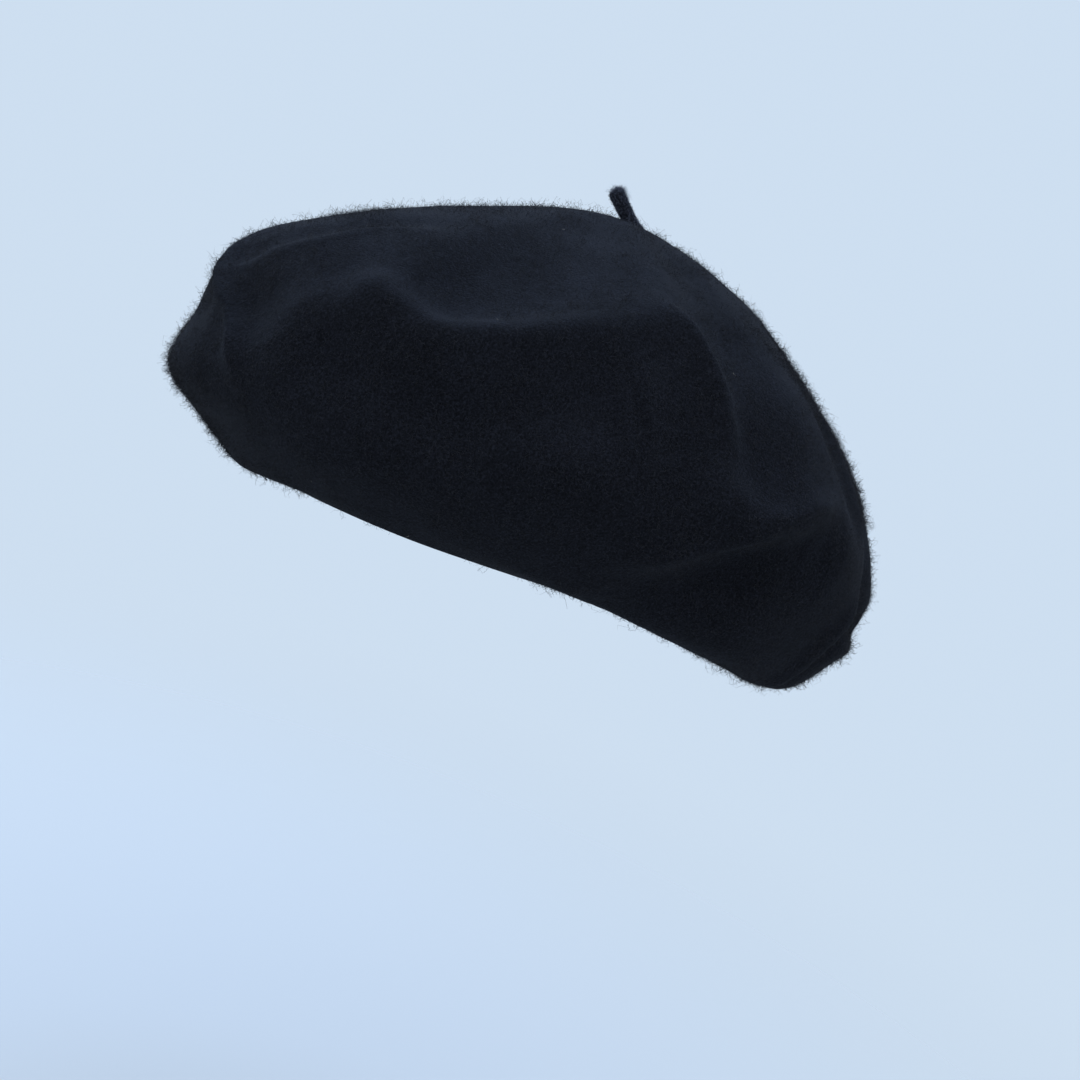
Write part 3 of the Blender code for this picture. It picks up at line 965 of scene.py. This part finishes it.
def build_knot(material):
    """The tied-off yarn that holds the stalk: a flat wound knot with two short tails."""
    low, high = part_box("stalk_anchor")
    centre = np.array((low + high) / 2)
    t = np.linspace(0.0, 2 * math.pi, 320, endpoint=False)
    reach = KNOT_RADIUS * (1.0 + 0.30 * np.cos(5 * t))
    wound = np.stack([
        reach * np.cos(3 * t), reach * np.sin(3 * t), 0.62 * MM * np.sin(5 * t + 0.4)], -1)
    lashing = np.stack([
        1.9 * MM * np.cos(2 * t), 1.5 * MM * np.sin(2 * t), 0.55 * MM * np.sin(3 * t) - 0.5 * MM], -1)
    parts = [tube(centre + wound, KNOT_YARN, 9, closed=True)]
    parts.append(tube(centre + lashing, KNOT_YARN * 0.9, 9, closed=True))
    for turn, length in ((20.0, 6.0), (150.0, 4.5)):
        s = np.linspace(0.0, 1.0, 26)
        outward = azimuth_vectors(turn)
        sway = azimuth_vectors(turn + 90.0)
        tail = centre + outward * ((1.5 + length * s) * MM)[:, None]
        tail += sway * (np.sin(s * 5.0) * 0.9 * MM * s)[:, None]
        tail[:, 2] -= (0.6 + 3.0 * s**1.6) * MM
        parts.append(tube(tail, KNOT_YARN * (0.85 - 0.25 * s**4), 9))
    knot = joined("stalk_knot", parts, material)
    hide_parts("stalk_anchor")
    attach(knot, "hat")


# ---- Stage, light and camera -----------------------------------------------------------------

CAMERA_AZIMUTH = 43.0
CAMERA_ELEVATION = 9.0
CAMERA_ROLL = 21.0
CAMERA_DISTANCE = 0.481
CAMERA_RIGHT = 0.0137
CAMERA_UP = -0.0026
CAMERA_LENS = 43.3
BACKDROP_COLOUR = (0.615, 0.735, 0.875)
AMBIENT_COLOUR = (0.66, 0.73, 0.80)
AMBIENT_ABOVE = 1.6
AMBIENT_BELOW = 0.45
AMBIENT_FRONT = 0.93
FLOOR_BELOW = 0.30
FLOOR_RADIUS = 1.2
FLOOR_FADE_FROM = 0.15
FLOOR_FADE_TO = 0.9
# The way most of the light comes from: the picture's up, tipped 34 degrees towards the camera.
UPRIGHT = Vector((0.077, -0.518, 0.852))
LIGHT_CENTRE = Vector((0.0, 0.0, 0.05))
LIGHT_SIZE = 0.6
TOP_DISTANCE, TOP_POWER, TOP_COLOUR = 0.9, 5.5, (0.44, 0.62, 1.0)
LEFT_DISTANCE, LEFT_POWER, LEFT_COLOUR = 1.0, 2.9, (0.46, 0.64, 1.0)


def camera_axes():
    """The camera's right, up and backward directions."""
    a, e, roll = map(math.radians, (CAMERA_AZIMUTH, CAMERA_ELEVATION, CAMERA_ROLL))
    back = Vector((math.sin(a) * math.cos(e), -math.cos(a) * math.cos(e), math.sin(e)))
    level = Vector((math.cos(a), math.sin(a), 0.0))
    above = back.cross(level)
    right = level * math.cos(roll) + above * math.sin(roll)
    up = above * math.cos(roll) - level * math.sin(roll)
    return right, up, back


def make_camera():
    right, up, back = camera_axes()
    data = bpy.data.cameras.new("camera")
    data.lens = CAMERA_LENS
    data.sensor_width = 36.0
    data.clip_start = 0.01
    camera = bpy.data.objects.new("camera", data)
    bpy.context.scene.collection.objects.link(camera)
    place = back * CAMERA_DISTANCE + right * CAMERA_RIGHT + up * CAMERA_UP
    turn = Matrix((right, up, back)).transposed().to_4x4()
    camera.matrix_world = Matrix.Translation(place) @ turn
    bpy.context.scene.camera = camera


def add_area_light(name, direction, distance, power, colour):
    data = bpy.data.lights.new(name, "AREA")
    data.shape = "DISK"
    data.size = LIGHT_SIZE
    data.energy = power
    data.color = colour
    light = bpy.data.objects.new(name, data)
    bpy.context.scene.collection.objects.link(light)
    direction = Vector(direction).normalized()
    light.location = LIGHT_CENTRE + direction * distance
    light.rotation_mode = "QUATERNION"
    light.rotation_quaternion = direction.to_track_quat("Z", "Y")


def facing_node(tree, direction, towards, away_value, towards_value):
    """A value that runs from away_value to towards_value as the direction turns towards a vector."""
    dot = tree.nodes.new("ShaderNodeVectorMath")
    dot.operation = "DOT_PRODUCT"
    dot.inputs[1].default_value = Vector(towards).normalized()
    tree.links.new(direction, dot.inputs[0])
    scale = add_node(tree, "ShaderNodeMapRange", From_Min=-1.0, From_Max=1.0, To_Min=away_value,
                     To_Max=towards_value)
    tree.links.new(dot.outputs["Value"], scale.inputs["Value"])
    return scale.outputs["Result"]


def make_stage():
    """Pale surroundings, a plain floor that fades into them, and soft light from above."""
    world = bpy.data.worlds.new("world")
    bpy.context.scene.world = world
    world.use_nodes = True
    tree = world.node_tree
    backdrop = tree.nodes["Background"]
    backdrop.inputs["Color"].default_value = (*BACKDROP_COLOUR, 1.0)
    right, _, back = camera_axes()
    direction = tree.nodes.new("ShaderNodeTexCoord").outputs["Generated"]
    from_above = facing_node(tree, direction, UPRIGHT, AMBIENT_BELOW, AMBIENT_ABOVE)
    from_behind = facing_node(tree, direction, -back, AMBIENT_FRONT, 1.0)
    ambient = add_node(tree, "ShaderNodeBackground", Color=(*AMBIENT_COLOUR, 1.0))
    strength = math_node(tree, "MULTIPLY", from_above, from_behind)
    tree.links.new(strength, ambient.inputs["Strength"])
    seen = tree.nodes.new("ShaderNodeLightPath").outputs["Is Camera Ray"]
    mix = tree.nodes.new("ShaderNodeMixShader")
    tree.links.new(seen, mix.inputs[0])
    tree.links.new(ambient.outputs[0], mix.inputs[1])
    tree.links.new(backdrop.outputs[0], mix.inputs[2])
    tree.links.new(mix.outputs[0], tree.nodes["World Output"].inputs["Surface"])

    top = UPRIGHT - back * 0.75 + right * 0.25
    left = UPRIGHT * 0.8 - right * 0.6 - back * 0.8
    add_area_light("soft_top", top, TOP_DISTANCE, TOP_POWER, TOP_COLOUR)
    add_area_light("soft_left", left, LEFT_DISTANCE, LEFT_POWER, LEFT_COLOUR)

    floor_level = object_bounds()[0].z - FLOOR_BELOW
    bpy.ops.mesh.primitive_circle_add(vertices=96, radius=FLOOR_RADIUS, fill_type="NGON",
                                      location=(0.0, 0.0, floor_level))
    floor = bpy.context.object
    floor.name = "floor"
    material, tree, shader = new_material("pale_floor")
    shader.inputs["Base Color"].default_value = (0.55, 0.585, 0.61, 1.0)
    shader.inputs["Roughness"].default_value = 0.9
    centre_out = tree.nodes.new("ShaderNodeVectorMath")
    centre_out.operation = "LENGTH"
    tree.links.new(object_place(tree), centre_out.inputs[0])
    fade = tree.nodes.new("ShaderNodeMapRange")
    fade.interpolation_type = "SMOOTHSTEP"
    fade.inputs["From Min"].default_value = FLOOR_FADE_FROM
    fade.inputs["From Max"].default_value = FLOOR_FADE_TO
    tree.links.new(centre_out.outputs["Value"], fade.inputs["Value"])
    clear = tree.nodes.new("ShaderNodeBsdfTransparent")
    mix = tree.nodes.new("ShaderNodeMixShader")
    tree.links.new(fade.outputs["Result"], mix.inputs[0])
    tree.links.new(shader.outputs["BSDF"], mix.inputs[1])
    tree.links.new(clear.outputs["BSDF"], mix.inputs[2])
    tree.links.new(mix.outputs[0], tree.nodes["Material Output"].inputs["Surface"])
    floor.data.materials.append(material)
    floor.visible_diffuse = False


# ---- Build -----------------------------------------------------------------------------------


def build_felt(material):
    surface, normals = folded_felt()
    felt = felt_object(surface, normals, material)
    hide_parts("felt_body")
    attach(felt, "hat")
    return surface, normals, felt


def main():
    bpy.context.scene.view_settings.view_transform = "Standard"
    make_camera()
    make_stage()
    felt, ribbon, thread = felt_material(), ribbon_material(), thread_material()
    nap = fibre_material("nap_fibre", (0.003, 0.0035, 0.0052), (0.015, 0.0170, 0.0255))
    # The stalk's fibres are far lighter than the same black wool on the body: a painted highlight standing
    # in for the glow of backlit fuzz.
    painted_halo = fibre_material("stalk_fibre_painted_light", (0.030, 0.035, 0.054), (0.100, 0.114, 0.168))
    pale = fibre_material("lint_fibre", (0.10, 0.10, 0.10), (0.34, 0.33, 0.31))
    surface, normals, felt_body = build_felt(felt)
    rings = build_stalk(surface, felt)
    build_nap(surface, normals, nap, pale)
    build_stalk_nap(rings, painted_halo)
    band = build_sweatband(ribbon)
    pieces = [build_join(ribbon), build_stitching(thread), build_join_seam(thread)]
    pieces += [build_label(label_material()), build_label_seam(thread)]
    build_knot(thread)


main()
